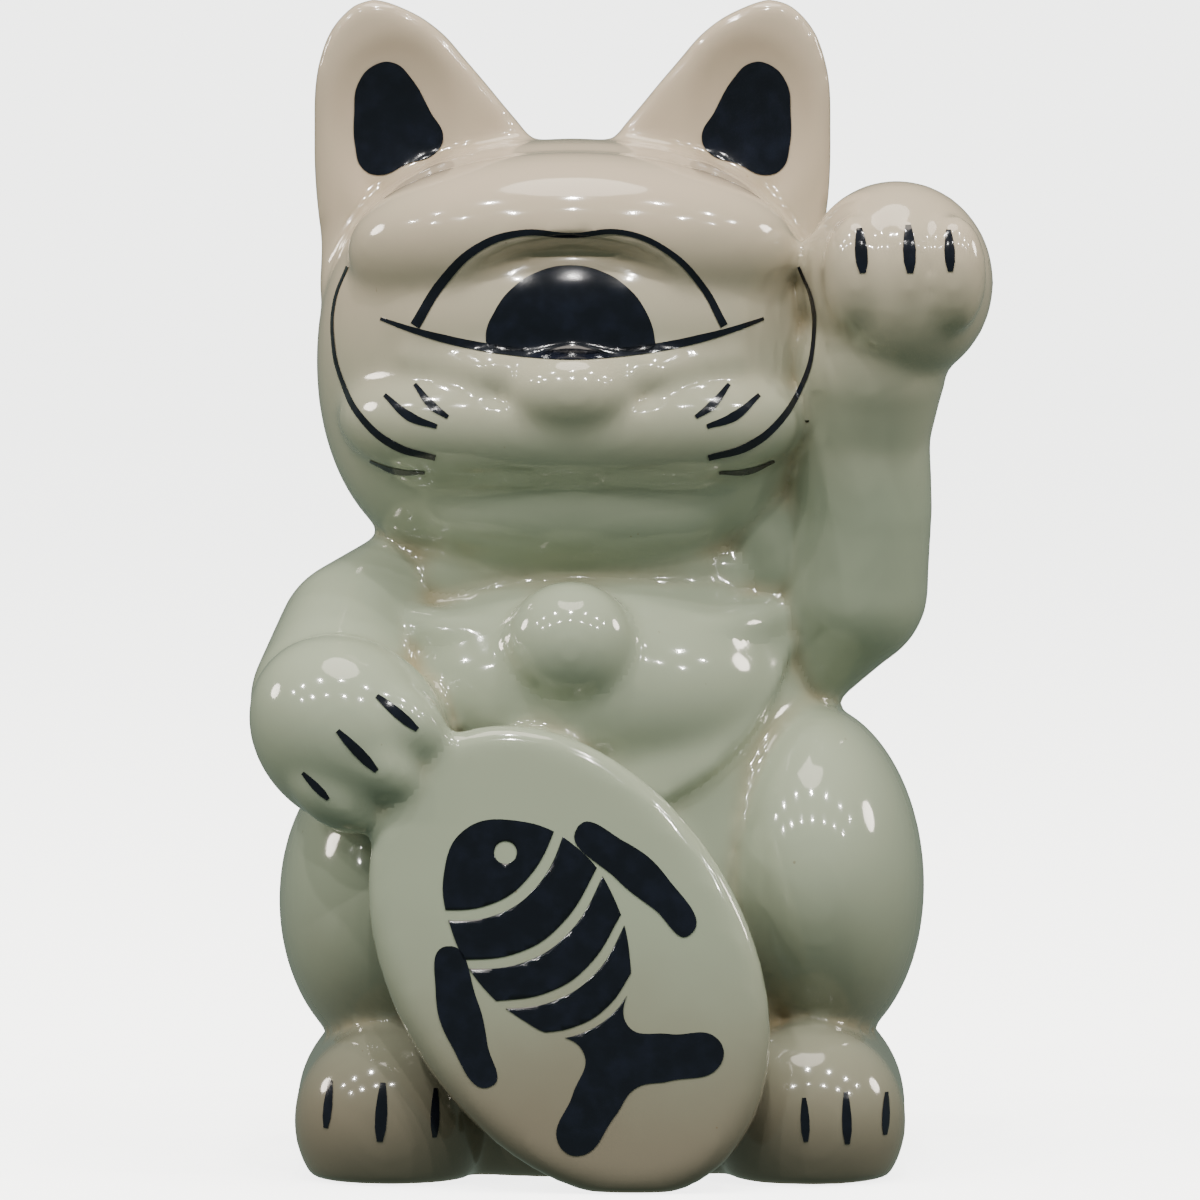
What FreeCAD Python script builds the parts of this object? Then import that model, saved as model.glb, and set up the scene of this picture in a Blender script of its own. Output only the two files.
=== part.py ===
"""A seated beckoning cat in glazed earthenware, made as a money box.

The cat is slip cast in several moulds. Head and body are hollow shells, and the forelegs, the tail, the
collar, the bib, the bell and the oval coin it holds are cast or pressed on their own and luted on with
slip before the glaze firing. A soft plug closes the hole in the base and pulls out downwards.

Units are millimetres. +Z is up and the cat faces -Y. While modelling, x = 0 is the middle of the face and
y = 0 the middle of the neck. At the end everything moves so that the origin is under the middle of the
whole object, on the surface that it stands on.
"""

import FreeCAD, Part
import math
import os

V = FreeCAD.Vector
X_AXIS, Y_AXIS, Z_AXIS = V(1, 0, 0), V(0, 1, 0), V(0, 0, 1)
SKY = 400.0           # longer than the object, for cutting tools
OVAL_STEPS = 8        # points along a half oval, which a smooth curve then joins

# ---- driving dimensions -------------------------------------------------------------------------
# Head: (radius, height) from the chin to the crown
HEAD_Z = 101.6
HEAD_PROFILE = [(0, 73.4), (12, 74.4), (22.5, 79.0), (29.0, 87.0), (32.0, 97.0), (32.0, 106.5),
                (29.5, 115.0), (23.5, 122.6), (12, 128.3), (0, 129.6)]
HEAD_HOLLOW = [(0, 77.4), (11, 78.4), (20.0, 82.4), (25.4, 89.0), (28.0, 97.5), (28.0, 105.8),
               (26.0, 113.0), (20.5, 119.4), (11, 124.3), (0, 125.6)]

# Torso: (radius, height) from below the base to the neck
TORSO_PROFILE = [(0, -5.0), (26.0, -4.0), (32.0, 6.0), (33.0, 22.0), (32.6, 38.0), (30.6, 52.0),
                 (27.6, 63.0), (24.0, 71.0), (16.0, 78.0), (0, 80.0)]
TORSO_HOLLOW = [(0, -3.0), (22.0, -2.0), (28.0, 7.0), (29.0, 22.0), (28.6, 37.5), (26.6, 50.8),
                (23.0, 61.5), (17.5, 69.0), (14.0, 78.0), (0, 84.0)]
TORSO_X, TORSO_Y = 2.5, 2.0

# Haunches: (centre, half width, radius). Hind feet: (x, y, z, radius) stations from toe to heel
THIGHS = [((-21.0, -5.0, 33.0), 15.6, 21.5), ((28.5, -5.0, 35.5), 15.5, 23.0)]
FEET = [[(-22.5, -23.0, 6.5, 10.4), (-21.5, 0.0, 7.0, 13.0)],
        [(30.0, -23.0, 6.5, 10.4), (28.0, 0.0, 7.0, 14.0)]]

# Forelegs and tail, as stations from the shoulder, or from the root
RAISED_LEG = [(27.0, 0.0, 64.0, 8.0), (34.6, -3.0, 73.0, 10.2), (36.0, -6.0, 92.0, 8.8),
              (39.6, -9.0, 111.5, 12.3)]
LOWERED_LEG = [(-20.0, 0.0, 67.0, 10.0), (-29.4, -12.0, 61.0, 10.6), (-28.6, -26.0, 56.0, 11.6),
               (-22.0, -31.5, 53.5, 8.4)]
TAIL = [(4.0, 33.0, 8.0, 5.0), (14.0, 33.5, 8.0, 5.6), (24.0, 29.0, 9.0, 5.8), (31.5, 20.0, 10.5, 5.2)]

# The neck joints are flat and lean forwards, and the collar lies between them
NECK_TILT = 8.0
COLLAR_Z, COLLAR_HEIGHT = 69.5, 5.0
COLLAR_R, COLLAR_EDGE = 26.5, 2.2
NECK_R, NECK_HEIGHT, NECK_HOLE_R = 20.0, 16.0, 13.5

# Money box openings
SLOT_LENGTH, SLOT_WIDTH, SLOT_Z = 30.0, 3.4, 57.0
PLUG_HOLE_R = 14.0
PLUG_CLEARANCE = 0.05
BASE_THICKNESS = 4.0
BASE_RECESS = 2.6     # depth of the hollow under the base, inside the foot rim
RIM_R = 24.0          # inner radius of the foot rim

# Coin: an oval plate that stands on the ground and leans back against the belly
COIN_CENTRE = V(-0.3, -36.0, 28.6)
COIN_LONG, COIN_SHORT, COIN_THICKNESS = 31.6, 22.0, 6.0
COIN_EDGE = 2.4
COIN_TURN = -31.5     # the top of the oval leans towards the lowered foreleg
COIN_LEAN = 7.0
COIN_SEAT_R = 12.0    # flat seat on the belly that the coin is luted to
COIN_SEAT_DEPTH = 16.0

BELL_CENTRE, BELL_R = V(0, -27.5, 66.5), 7.8

# Plug: a tapered cup that fills the hole, with a flange under it and a bar across its hollow
PLUG_TOP_R, PLUG_HEIGHT, PLUG_WALL = 13.4, 7.5, 1.8
FLANGE_R, FLANGE_T, FLANGE_GAP = 17.0, 1.2, 0.05
PULL_WIDTH, PULL_LOW, PULL_HIGH = 3.0, -1.0, 1.8


# ---- helpers ------------------------------------------------------------------------------------
def turned(profile, x=0.0, y=0.0):
    """A solid turned about Z from (radius, height) points."""
    points = [V(r, 0, z) for r, z in profile]
    curve = Part.BSplineCurve()
    curve.interpolate(Points=points, InitialTangent=V(1, 0, 0), FinalTangent=V(-1, 0, 0))
    outline = Part.Wire([curve.toShape(), Part.makeLine(points[-1], points[0])])
    solid = Part.Face(outline).revolve(V(0, 0, 0), Z_AXIS, 360)
    solid.translate(V(x, y, 0))
    return solid


def oval(centre, half_width, radius):
    """An oval turned about the X axis: half_width to each side, round when seen from the side."""
    angles = [math.pi * step / OVAL_STEPS for step in range(OVAL_STEPS + 1)]
    profile = [(radius * math.sin(angle), -half_width * math.cos(angle)) for angle in angles]
    solid = turned(profile)
    solid.rotate(V(0, 0, 0), Y_AXIS, 90)
    solid.translate(V(*centre))
    return solid


def chain(*stations):
    """A round limb: a ball at each (x, y, z, radius) station and a cone from each one to the next."""
    pieces = [Part.makeSphere(r, V(x, y, z)) for x, y, z, r in stations]
    for start, end in zip(stations, stations[1:]):
        foot, top = V(*start[:3]), V(*end[:3])
        length = (top - foot).Length
        if start[3] == end[3]:
            pieces.append(Part.makeCylinder(start[3], length, foot, top - foot))
        else:
            pieces.append(Part.makeCone(start[3], end[3], length, foot, top - foot))
    return pieces[0].fuse(pieces[1:])


def block(x0, x1, y0, y1, z0, z1):
    return Part.makeBox(x1 - x0, y1 - y0, z1 - z0, V(x0, y0, z0))


def below_ground():
    return block(-SKY, SKY, -SKY, SKY, -SKY, 0)


def slab(low, high):
    """Everything between two heights on the neck's own leaning axis."""
    solid = block(-SKY, SKY, -SKY, SKY, low, high)
    solid.rotate(V(0, 0, COLLAR_Z), X_AXIS, NECK_TILT)
    return solid


def largest(shape):
    """The biggest solid of a cut, without the slivers that a cut can leave."""
    return max(shape.Solids, key=lambda s: s.Volume)


# ---- head ---------------------------------------------------------------------------------------
EAR_X, EAR_INNER_X = 32.0, 6.0
EAR_FOOT_Z, EAR_TIP_Z = 112.0, 147.0
EAR_THICKNESS, EAR_EDGE, EAR_Y = 9.5, 2.4, 3.0
EAR_OUTLINE = [(28.5, EAR_FOOT_Z), (EAR_X, 128.0), (31.2, 140.5), (25.6, EAR_TIP_Z), (18.3, 143.0),
               (9.5, 131.5), (EAR_INNER_X, 121.0), (14.0, EAR_FOOT_Z - 2)]
EAR_FRONT = EAR_Y - EAR_THICKNESS / 2
DISH_R, DISH_Y = 5.0, EAR_FRONT - 2.6    # the dish is this ball's radius, from a centre in front of the ear
DISH = [(24.0, DISH_Y, 136.0, DISH_R), (19.0, DISH_Y, 128.0, DISH_R)]
CHEEKS = [(-11.0, -20.0, 93.0, 12.0), (11.0, -20.0, 93.0, 12.0)]
NOSE_CENTRE, NOSE_R = V(0, -30.6, 99.5), 5.6


def ear():
    """The ear on the +X side: a thick rounded triangle with a shallow dish in its front."""
    rim = Part.BSplineCurve()
    rim.interpolate(Points=[V(x, EAR_FRONT, z) for x, z in EAR_OUTLINE], PeriodicFlag=True)
    solid = Part.Face(Part.Wire(rim.toShape())).extrude(V(0, EAR_THICKNESS, 0))
    solid = solid.makeFillet(EAR_EDGE, solid.Edges)
    return solid.cut(chain(*DISH))


def head_casting():
    """Skull and ears, with the muzzle and the nose standing proud."""
    skull = turned(HEAD_PROFILE)
    right = ear()
    left = right.mirror(V(0, 0, 0), X_AXIS)
    cheeks = chain(*CHEEKS)
    nose = Part.makeSphere(NOSE_R, NOSE_CENTRE)
    neck = Part.makeCylinder(NECK_R, NECK_HEIGHT, V(TORSO_X / 2, 0, COLLAR_Z))
    neck.rotate(V(0, 0, COLLAR_Z), X_AXIS, NECK_TILT)
    solid = skull.fuse([right, left, cheeks, nose, neck])
    return largest(solid.common(slab(COLLAR_Z + COLLAR_HEIGHT, SKY)))


def head_hollow():
    """The inside of the skull and a neck that opens it to the body."""
    return turned(HEAD_HOLLOW).fuse(Part.makeCylinder(NECK_HOLE_R, HEAD_Z - COLLAR_Z, V(0, 0, COLLAR_Z)))


# ---- body ---------------------------------------------------------------------------------------
def coin_placed(solid):
    """Turns a solid built flat at the origin, facing +Z, to where the coin is."""
    solid.rotate(V(0, 0, 0), X_AXIS, 90)
    solid.rotate(V(0, 0, 0), Y_AXIS, 90 + COIN_TURN)
    solid.rotate(V(0, 0, 0), X_AXIS, -COIN_LEAN)
    solid.translate(COIN_CENTRE)
    return solid


def body_outside():
    """Torso, haunches and hind feet, cut flat where they stand, with a flat seat for the coin."""
    torso = turned(TORSO_PROFILE, TORSO_X, TORSO_Y)
    thighs = [oval(*thigh) for thigh in THIGHS]
    feet = [chain(*foot) for foot in FEET]
    seat = Part.makeCylinder(COIN_SEAT_R, COIN_SEAT_DEPTH, V(0, 0, -COIN_THICKNESS / 2 - COIN_SEAT_DEPTH))
    solid = torso.fuse(thighs + feet + [coin_placed(seat)])
    return largest(solid.cut(below_ground()).common(slab(-SKY, COLLAR_Z)))


def coin_slot():
    """A slot with round ends through the upper back."""
    half, end_r = (SLOT_LENGTH - SLOT_WIDTH) / 2, SLOT_WIDTH / 2
    slot = block(TORSO_X - half, TORSO_X + half, TORSO_Y, SKY, SLOT_Z - end_r, SLOT_Z + end_r)
    places = [V(TORSO_X - half, TORSO_Y, SLOT_Z), V(TORSO_X + half, TORSO_Y, SLOT_Z)]
    ends = [Part.makeCylinder(end_r, SKY, place, Y_AXIS) for place in places]
    return slot.fuse(ends)


def body_hollow():
    """The money box, a recess under the base inside the foot rim, the plug's hole and the coin slot."""
    inside = turned(TORSO_HOLLOW, TORSO_X, TORSO_Y)
    inside = inside.common(block(-SKY, SKY, -SKY, SKY, BASE_RECESS + BASE_THICKNESS, SKY))
    recess = Part.makeCylinder(RIM_R, BASE_RECESS, V(TORSO_X, TORSO_Y, 0))
    hole = Part.makeCylinder(PLUG_HOLE_R, SKY, V(TORSO_X, TORSO_Y, -SKY + COLLAR_Z / 2))
    return [inside, recess, hole, coin_slot()]


# ---- what is luted on -----------------------------------------------------------------------------
def collar():
    """A band round the neck that hides the joint between body and head."""
    solid = Part.makeCylinder(COLLAR_R, COLLAR_HEIGHT)
    solid = solid.makeFillet(COLLAR_EDGE, [e for e in solid.Edges if isinstance(e.Curve, Part.Circle)])
    solid = solid.cut(Part.makeCylinder(NECK_HOLE_R, SKY, V(0, 0, -SKY / 2)))
    solid.translate(V(TORSO_X / 2, 0, COLLAR_Z))
    solid.rotate(V(0, 0, COLLAR_Z), X_AXIS, NECK_TILT)
    return solid


def coin_plaque():
    face = Part.Face(Part.Wire(Part.Ellipse(V(0, 0, 0), COIN_LONG, COIN_SHORT).toShape()))
    solid = face.extrude(V(0, 0, COIN_THICKNESS))
    solid.translate(V(0, 0, -COIN_THICKNESS / 2))
    solid = solid.makeFillet(COIN_EDGE, solid.Edges)
    return coin_placed(solid).cut(below_ground())


BIB_PROUD, BIB_R = 1.3, 27.0
BIB_CENTRE = V(0.5, -4.0, 71.0)


def bib():
    """A thin layer of clay over the chest, round below and cut off by the collar."""
    layer = turned([(r + BIB_PROUD if r else 0, z) for r, z in TORSO_PROFILE], TORSO_X, TORSO_Y)
    outline = Part.makeCylinder(BIB_R, SKY, BIB_CENTRE, V(0, -1, 0))
    return layer.common(outline).common(slab(-SKY, COLLAR_Z))


def raised_foreleg():
    """The beckoning leg: shoulder, elbow out to the side, and a paw beside the head."""
    return chain(*RAISED_LEG)


def lowered_foreleg():
    """The leg that holds the coin: down from the shoulder, then forwards to a round paw."""
    return chain(*LOWERED_LEG)


def tail():
    """A short tail that curls round the back of the base."""
    return chain(*TAIL)


def base_plug():
    """The soft plug: a tapered cup with a thin flange and a bar across its hollow to pull it by."""
    big, well_r = PLUG_HOLE_R - PLUG_CLEARANCE, PLUG_TOP_R - PLUG_WALL
    flange_low = -FLANGE_T - FLANGE_GAP
    outline = [V(well_r, 0, flange_low), V(FLANGE_R, 0, flange_low), V(FLANGE_R, 0, -FLANGE_GAP),
               V(big, 0, -FLANGE_GAP), V(PLUG_TOP_R, 0, PLUG_HEIGHT), V(0, 0, PLUG_HEIGHT),
               V(0, 0, PLUG_HEIGHT - PLUG_WALL), V(well_r, 0, PLUG_HEIGHT - PLUG_WALL)]
    edges = [Part.makeLine(a, b) for a, b in zip(outline, outline[1:] + outline[:1])]
    cup = Part.Face(Part.Wire(edges)).revolve(V(0, 0, 0), Z_AXIS, 360)
    half_bar, half_width = PLUG_TOP_R - PLUG_WALL / 2, PULL_WIDTH / 2
    solid = cup.fuse(block(-half_bar, half_bar, -half_width, half_width, PULL_LOW, PULL_HIGH))
    solid.translate(V(TORSO_X, TORSO_Y, BASE_RECESS))
    return solid


# ---- assembly -------------------------------------------------------------------------------------
def build():
    """Every piece, each one cut back where it meets the pieces that were made before it."""
    head, body, coin, band = head_casting(), body_outside(), coin_plaque(), collar()
    raised, lowered, bell = raised_foreleg(), lowered_foreleg(), Part.makeSphere(BELL_R, BELL_CENTRE)
    parts = {}
    parts["collar"] = band
    parts["bell"] = largest(bell.cut([body, head]).cut(band))
    parts["raised_foreleg"] = largest(raised.cut([body, head]).cut(band))
    parts["lowered_foreleg"] = largest(lowered.cut([body, head]).cut(band))
    parts["coin_plaque"] = largest(coin.cut(body).cut(parts["lowered_foreleg"]))
    parts["bib"] = largest(bib().cut(body).cut([bell, raised, lowered, coin]))
    parts["tail"] = largest(tail().cut(body).cut(below_ground()))
    parts["head_casting"] = head.cut(head_hollow())
    parts["body_casting"] = body.cut(body_hollow())
    parts["base_plug"] = base_plug()
    return parts


def centred(parts):
    """Moves every piece so that the origin is under the middle of the whole object."""
    box = FreeCAD.BoundBox()
    for shape in parts.values():
        box.add(shape.BoundBox)
    for shape in parts.values():
        shape.translate(V(-box.Center.x, -box.Center.y, 0))
    print("moved by", -box.Center.x, -box.Center.y, "size", box.XLength, box.YLength, box.ZLength)
    return parts


os.makedirs("parts", exist_ok=True)
for name, shape in centred(build()).items():
    print(f"{name}: {len(shape.Solids)} solid, valid {shape.isValid()}, {shape.Volume / 1000:.2f} cm3")
    shape.exportStep(f"parts/{name}.step")
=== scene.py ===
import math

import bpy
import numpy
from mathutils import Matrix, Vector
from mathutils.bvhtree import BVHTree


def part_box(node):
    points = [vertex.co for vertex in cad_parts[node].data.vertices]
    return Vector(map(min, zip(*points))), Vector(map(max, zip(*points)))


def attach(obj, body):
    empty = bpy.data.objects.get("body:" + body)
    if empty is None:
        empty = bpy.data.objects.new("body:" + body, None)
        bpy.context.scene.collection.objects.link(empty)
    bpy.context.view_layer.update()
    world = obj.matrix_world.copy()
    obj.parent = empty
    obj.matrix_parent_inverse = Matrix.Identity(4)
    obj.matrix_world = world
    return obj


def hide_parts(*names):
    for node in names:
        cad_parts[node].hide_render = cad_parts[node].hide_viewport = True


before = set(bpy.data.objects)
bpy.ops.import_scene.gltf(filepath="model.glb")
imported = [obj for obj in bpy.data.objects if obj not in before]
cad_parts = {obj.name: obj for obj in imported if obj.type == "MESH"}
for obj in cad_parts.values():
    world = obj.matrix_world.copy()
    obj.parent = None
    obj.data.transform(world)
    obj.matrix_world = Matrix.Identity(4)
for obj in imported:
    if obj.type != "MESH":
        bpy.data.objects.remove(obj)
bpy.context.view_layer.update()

# %% [markdown]
# # A beckoning cat in glazed earthenware
#
# The cat is a money box. Its hollow castings are luted together with slip, dipped in one thick off-white
# glaze, and painted with a navy brush. The glaze softens every joint, so the whole figure is first shaped
# as one lump of clay, and is then parted again along the joints of the castings.

MM = 0.001
head_low, head_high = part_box("head_casting")
body_low, body_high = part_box("body_casting")
coin_low, coin_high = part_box("coin_plaque")
plug_low, plug_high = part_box("base_plug")
HEAD_R = 32.0
FACE_X = (head_low.x + head_high.x) / 2
NECK_Y = head_high.y - HEAD_R * MM
print("the middle of the face is at x =", round(FACE_X, 4), "and the neck at y =", round(NECK_Y, 4))
print("the body is", round((body_high.z - body_low.z) / MM, 1), "mm high and the coin",
      round((coin_high.z - coin_low.z) / MM, 1), "mm")


def at(x, y, z):
    """A place in metres, from millimetres right of the face's middle, behind the neck and above ground."""
    return Vector((FACE_X + x * MM, NECK_Y + y * MM, z * MM))


# %% [markdown]
# ## Working by hand
#
# Each operator acts on whatever is selected, so a few short helpers keep the selection honest. The clay is
# added as simple lumps, which are joined and worked into one skin later, as a modeller does with real clay.

# %% Selection helpers
def only(obj):
    """Selects this object alone and makes it active."""
    bpy.ops.object.select_all(action="DESELECT")
    obj.select_set(True)
    bpy.context.view_layer.objects.active = obj
    return obj


def named(name):
    """Names the active object and its mesh, and settles its place into the mesh."""
    obj = only(bpy.context.object)
    bpy.ops.object.transform_apply(location=True, rotation=True, scale=True)
    obj.name = name
    obj.data.name = name
    return obj


def join(objects, name):
    """Makes one object of several."""
    bpy.ops.object.select_all(action="DESELECT")
    for obj in objects:
        obj.select_set(True)
    bpy.context.view_layer.objects.active = objects[0]
    if len(objects) > 1:
        bpy.ops.object.join()
    return named(name)


def modify(obj, kind, **settings):
    """Adds a modifier and applies it."""
    only(obj)
    modifier = obj.modifiers.new(kind, kind)
    for key, value in settings.items():
        setattr(modifier, key, value)
    bpy.ops.object.modifier_apply(modifier=modifier.name)
    return obj


def hollowed(obj, tool):
    """Cuts one lump out of another."""
    modify(obj, "BOOLEAN", operation="DIFFERENCE", object=tool, solver="EXACT")
    discard(tool)
    return obj


def copied(obj, name):
    """A copy with its own mesh."""
    only(obj)
    bpy.ops.object.duplicate()
    return named(name)


def edit(obj, *steps):
    """Runs edit-mode steps on the whole mesh of one object."""
    only(obj)
    bpy.ops.object.mode_set(mode="EDIT")
    bpy.ops.mesh.select_all(action="SELECT")
    for step in steps:
        step()
    bpy.ops.object.mode_set(mode="OBJECT")
    return obj


def discard(obj):
    """Deletes an object."""
    only(obj)
    bpy.ops.object.delete()


# Operators need an active object, so one CAD node is made active before everything is deselected.
only(list(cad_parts.values())[0])
bpy.ops.object.select_all(action="DESELECT")


# %% Lumps of clay: balls, limbs and turned forms
SIDES = 64
RINGS = 32
SPIN_STEPS = 48
SAME_POINT = MM / 20


def ball(centre, radii, turn=(0, 0, 0)):
    """An egg of the given half sizes in millimetres, turned by degrees."""
    bpy.ops.object.select_all(action="DESELECT")
    bpy.ops.mesh.primitive_uv_sphere_add(segments=SIDES, ring_count=RINGS, radius=MM, location=at(*centre),
                                         rotation=[math.radians(a) for a in turn])
    bpy.context.object.scale = radii
    return named("ball")


def cone_between(start, end):
    """A frustum from one (x, y, z, radius) station to the next."""
    foot, top = at(*start[:3]), at(*end[:3])
    along = top - foot
    bpy.ops.object.select_all(action="DESELECT")
    bpy.ops.mesh.primitive_cone_add(vertices=SIDES, radius1=start[3] * MM, radius2=end[3] * MM,
                                    depth=along.length, location=(foot + top) / 2,
                                    rotation=along.to_track_quat("Z", "Y").to_euler())
    return named("cone")


def limb(name, *stations):
    """A round limb through (x, y, z, radius) stations."""
    lumps = [ball(s[:3], (s[3],) * 3) for s in stations]
    lumps += [cone_between(a, b) for a, b in zip(stations, stations[1:])]
    return join(lumps, name)


def thrown(name, profile, depth, x, y):
    """A form spun from (radius, height) points, as on a wheel, then flattened from front to back."""
    bpy.ops.object.select_all(action="DESELECT")
    bpy.ops.mesh.primitive_circle_add(vertices=3, radius=MM, location=(0, 0, 0))
    obj = bpy.context.object
    bpy.ops.object.mode_set(mode="EDIT")
    bpy.ops.mesh.select_all(action="SELECT")
    bpy.ops.mesh.merge(type="CENTER")
    bpy.ops.transform.translate(value=(profile[0][0] * MM, 0, profile[0][1] * MM))
    for (r0, z0), (r1, z1) in zip(profile, profile[1:]):
        step = ((r1 - r0) * MM, 0, (z1 - z0) * MM)
        bpy.ops.mesh.extrude_region_move(TRANSFORM_OT_translate={"value": step})
    bpy.ops.mesh.select_all(action="SELECT")
    bpy.ops.mesh.spin(steps=SPIN_STEPS, angle=math.tau, center=(0, 0, 0), axis=(0, 0, 1))
    bpy.ops.mesh.select_all(action="SELECT")
    bpy.ops.mesh.remove_doubles(threshold=SAME_POINT)
    bpy.ops.mesh.normals_make_consistent(inside=False)
    bpy.ops.object.mode_set(mode="OBJECT")
    modify(obj, "SUBSURF", levels=2, render_levels=2)
    obj.scale = (1, depth, 1)
    obj.location = at(x, y, 0)
    return named(name)


# %% [markdown]
# ## The clay
#
# Each casting of the real figure gets its own lumps: the head with its ears, brow, cheeks and nose, the
# body with its haunches and feet, both forelegs, the collar, the bib and the tail.

# %% A shape cut from a slab, for the ears and for what is painted
def smooth_outline(points, height):
    """A flat closed curve through (x, z) points in millimetres, given a thickness, standing up facing -Y."""
    bpy.ops.object.select_all(action="DESELECT")
    bpy.ops.curve.primitive_bezier_circle_add(location=(0, 0, 0))
    obj = bpy.context.object
    obj.data.dimensions = "2D"
    obj.data.fill_mode = "BOTH"
    obj.data.extrude = height / 2 * MM
    knots = obj.data.splines[0].bezier_points
    knots.add(len(points) - len(knots))
    for knot, (x, z) in zip(knots, points):
        knot.handle_left_type = "AUTO"
        knot.handle_right_type = "AUTO"
        knot.co = (x * MM, z * MM, 0)
    bpy.ops.object.convert(target="MESH")
    return obj


def slab(points, y, thickness):
    """A slab of that outline whose middle is y millimetres behind the neck."""
    obj = smooth_outline(points, thickness)
    obj.rotation_euler = (math.radians(90), 0, 0)
    obj.location = at(0, y, 0)
    named("slab")
    edit(obj, lambda: bpy.ops.mesh.remove_doubles(threshold=MM / 100),
         lambda: bpy.ops.mesh.normals_make_consistent(inside=False))
    return obj


def mirrored(points, side):
    """The same outline on the cat's other side where side is -1."""
    return [(side * x, z) for x, z in points]


# %% [markdown]
# ## The head
#
# The skull is turned on the wheel and pressed a little flat from front to back. Brow, muzzle, chin and neck
# are balls of clay on it. A socket is scooped out before the eyeball, the lower lid and the nose go on,
# because clay that is cut away shows a sharper rim than clay that is built up. A cupped slab makes each
# ear.

# %% The head
HEAD_PROFILE = [(0, 73.6), (12, 74.2), (22.5, 77.6), (28.6, 84.0), (32.0, 92.5), (32.9, 101.5), (32.1, 110.0),
                (29.0, 118.2), (22.6, 125.0), (12, 129.2), (0, 130.0)]
HEAD_DEPTH = 0.84
EAR_OUTLINE = [(29.6, 106), (32.0, 118), (32.8, 130), (31.8, 140.8), (29.2, 145.4), (25.8, 147.4),
               (21.6, 146.4), (17.0, 143.6), (13.4, 139.6), (9.2, 134.6), (5.0, 129), (3.0, 122), (10, 112)]
EAR_Y, EAR_THICKNESS, EAR_LEAN = 3.0, 7.0, 14


def ear(side):
    """An ear: a thick slab with a rounded tip, filled out behind where it grows from the skull."""
    flap = slab(mirrored(EAR_OUTLINE, side), EAR_Y, EAR_THICKNESS)
    hollowed(flap, ball((side * 22.6, -5.2, 132.0), (12.0, 6.6, 16.0)))
    root = ball((side * 20.0, 5.6, 120.0), (12.0, 5.8, 15.0), (0, side * EAR_LEAN, 0))
    return join([flap, root], "ear")


CLAY_VOXEL = 1.0


def even(obj, size=CLAY_VOXEL):
    """Remeshes an object evenly, with faces of about that many millimetres."""
    return modify(obj, "REMESH", mode="VOXEL", voxel_size=size * MM)


LID_R = 3.4
LOWER_LID = [(-25.0, -11.5, 103.8, LID_R), (-18.6, -19.4, 102.4, LID_R), (-9.6, -25.0, 100.6, LID_R),
             (0, -26.4, 99.6, LID_R), (9.6, -25.0, 100.6, LID_R), (18.6, -19.4, 102.4, LID_R),
             (25.0, -11.5, 103.8, LID_R)]


def head_clay():
    """Skull, brow and cheeks, with a socket cut for the eye before the eyeball and the nose go on."""
    skull = thrown("skull", HEAD_PROFILE, HEAD_DEPTH, 0, 0)
    brow = ball((0, -11.6, 115.6), (28.4, 16.8, 12.4), (-14, 0, 0))
    muzzle = ball((0, -11.5, 95.0), (29.6, 19.0, 11.5), (4, 0, 0))
    chin = ball((0, -11.0, 84.0), (20.0, 14.0, 9.5))
    neck = ball((0.5, 1.0, 75.0), (24.0, 20.5, 9.0))
    face = even(join([skull, brow, muzzle, chin, neck], "face"))
    hollowed(face, ball((0, -32.0, 106.8), (20.4, 12.4, 11.8)))
    eyeball = ball((0, -12.0, 106.0), (26.0, 15.6, 16.5))
    lid = limb("lid", *LOWER_LID)
    nose = ball((0, -26.8, 98.4), (8.0, 6.0, 5.4))
    return join([face, eyeball, lid, nose, ear(-1), ear(1)], "head")


# %% [markdown]
# ## The body
#
# The torso is another turned form, with a ball for each haunch, for the belly and for the chest, and a
# short limb for each hind foot. The cat sits with its weight a little to one side, so the two haunches
# differ.

# %% The body
TORSO_PROFILE = [(0, -3.0), (20, -3.0), (32.0, 0.0), (33.6, 12.0), (33.4, 28.0), (32.6, 42.0), (31.0, 54.0),
                 (28.4, 64.0), (24.6, 71.5), (17.0, 77.0), (0, 79.0)]
TORSO_DEPTH, TORSO_X, TORSO_Y = 0.93, 2.5, 2.0
CHEST_MIDDLE, CHEST_SIZE = (1.5, -8.0, 60.0), (24.0, 20.5, 15.0)


def body_clay():
    """Torso, haunches, hind feet, belly, chest and the shoulder of the raised leg."""
    torso = thrown("torso", TORSO_PROFILE, TORSO_DEPTH, TORSO_X, TORSO_Y)
    left_thigh = ball((-22.6, -5.5, 33.5), (14.6, 23.5, 20.5))
    right_thigh = ball((30.4, -5.5, 36.5), (14.2, 24.5, 22.2), (0, -3, 0))
    left_foot = limb("left_foot", (-22.6, -22.5, 7.2, 12.2), (-21.5, 0.0, 7.0, 13.6))
    right_foot = limb("right_foot", (29.6, -22.5, 7.2, 12.2), (28.4, 0.0, 7.0, 14.0))
    belly = ball((1.0, -16.0, 32.0), (21.0, 16.0, 27.0))
    chest = ball(CHEST_MIDDLE, CHEST_SIZE)
    shoulder = ball((17.0, -3.0, 75.0), (10.0, 10.0, 5.5))
    return join([torso, left_thigh, right_thigh, left_foot, right_foot, belly, chest, shoulder], "body")


# %% [markdown]
# ## The forelegs and the tail
#
# Each foreleg is cast on its own, because a leg that stands clear of the body can't come out of the same
# mould. Here each is a limb of round stations with a ball for the paw and three small ones for the toes.
# The tail is a coil of clay that is laid round the back of the base.

# %% The forelegs and the tail
PAW_TURN = (0, 40, 0)


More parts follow.
